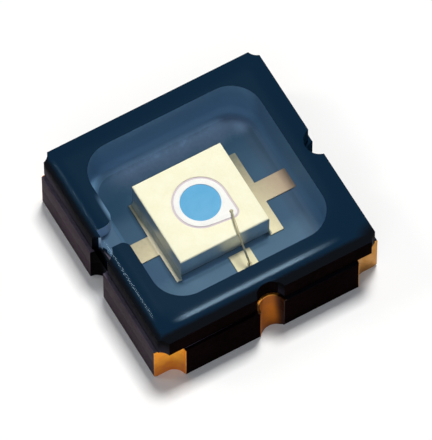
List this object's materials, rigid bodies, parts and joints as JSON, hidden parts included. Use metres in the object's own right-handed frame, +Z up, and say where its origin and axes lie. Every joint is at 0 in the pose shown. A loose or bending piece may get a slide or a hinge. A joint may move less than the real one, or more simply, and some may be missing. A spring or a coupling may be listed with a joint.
{
  "type": "avalanche photodiode",
  "caption": "Avalanche photodiode in a black leadless chip carrier with gold edge contacts, a pale chip with a blue active window, a bond wire and clear resin",
  "frame": {"origin": "middle of the seating plane under the carrier", "axes": "+Z up out of the resin, -Y towards the contact notch at the front, +X to the right"},
  "size_m": [0.003, 0.003, 0.001],
  "materials": {
    "carrier_black": "black, faintly rough",
    "gold_plating": "plated gold",
    "silver_adhesive": "matt silver-filled",
    "silicon": "sawn",
    "oxide_film": "smooth",
    "window_coating": "smooth blue coating",
    "chip_metal": "fine-grained bright",
    "clear_resin": "glossy clear"
  },
  "bodies": {
    "root": {"base_layer": "carrier_black", "lower_wall_layer": "carrier_black", "upper_wall_layer": "carrier_black", "front_left_contact": "gold_plating", "front_right_contact": "gold_plating", "rear_left_contact": "gold_plating", "rear_right_contact": "gold_plating", "front_contact": "gold_plating", "rear_contact": "gold_plating", "die_pad": "gold_plating", "bond_pad": "gold_plating", "chip_back_contact": "gold_plating", "bond_wire": "gold_plating", "die_attach": "silver_adhesive", "apd_chip": "silicon", "oxide_layer": "oxide_film", "active_window": "window_coating", "anode_ring": "chip_metal", "shield_metal": "chip_metal", "encapsulant": "clear_resin"}
  },
  "joints": []
}
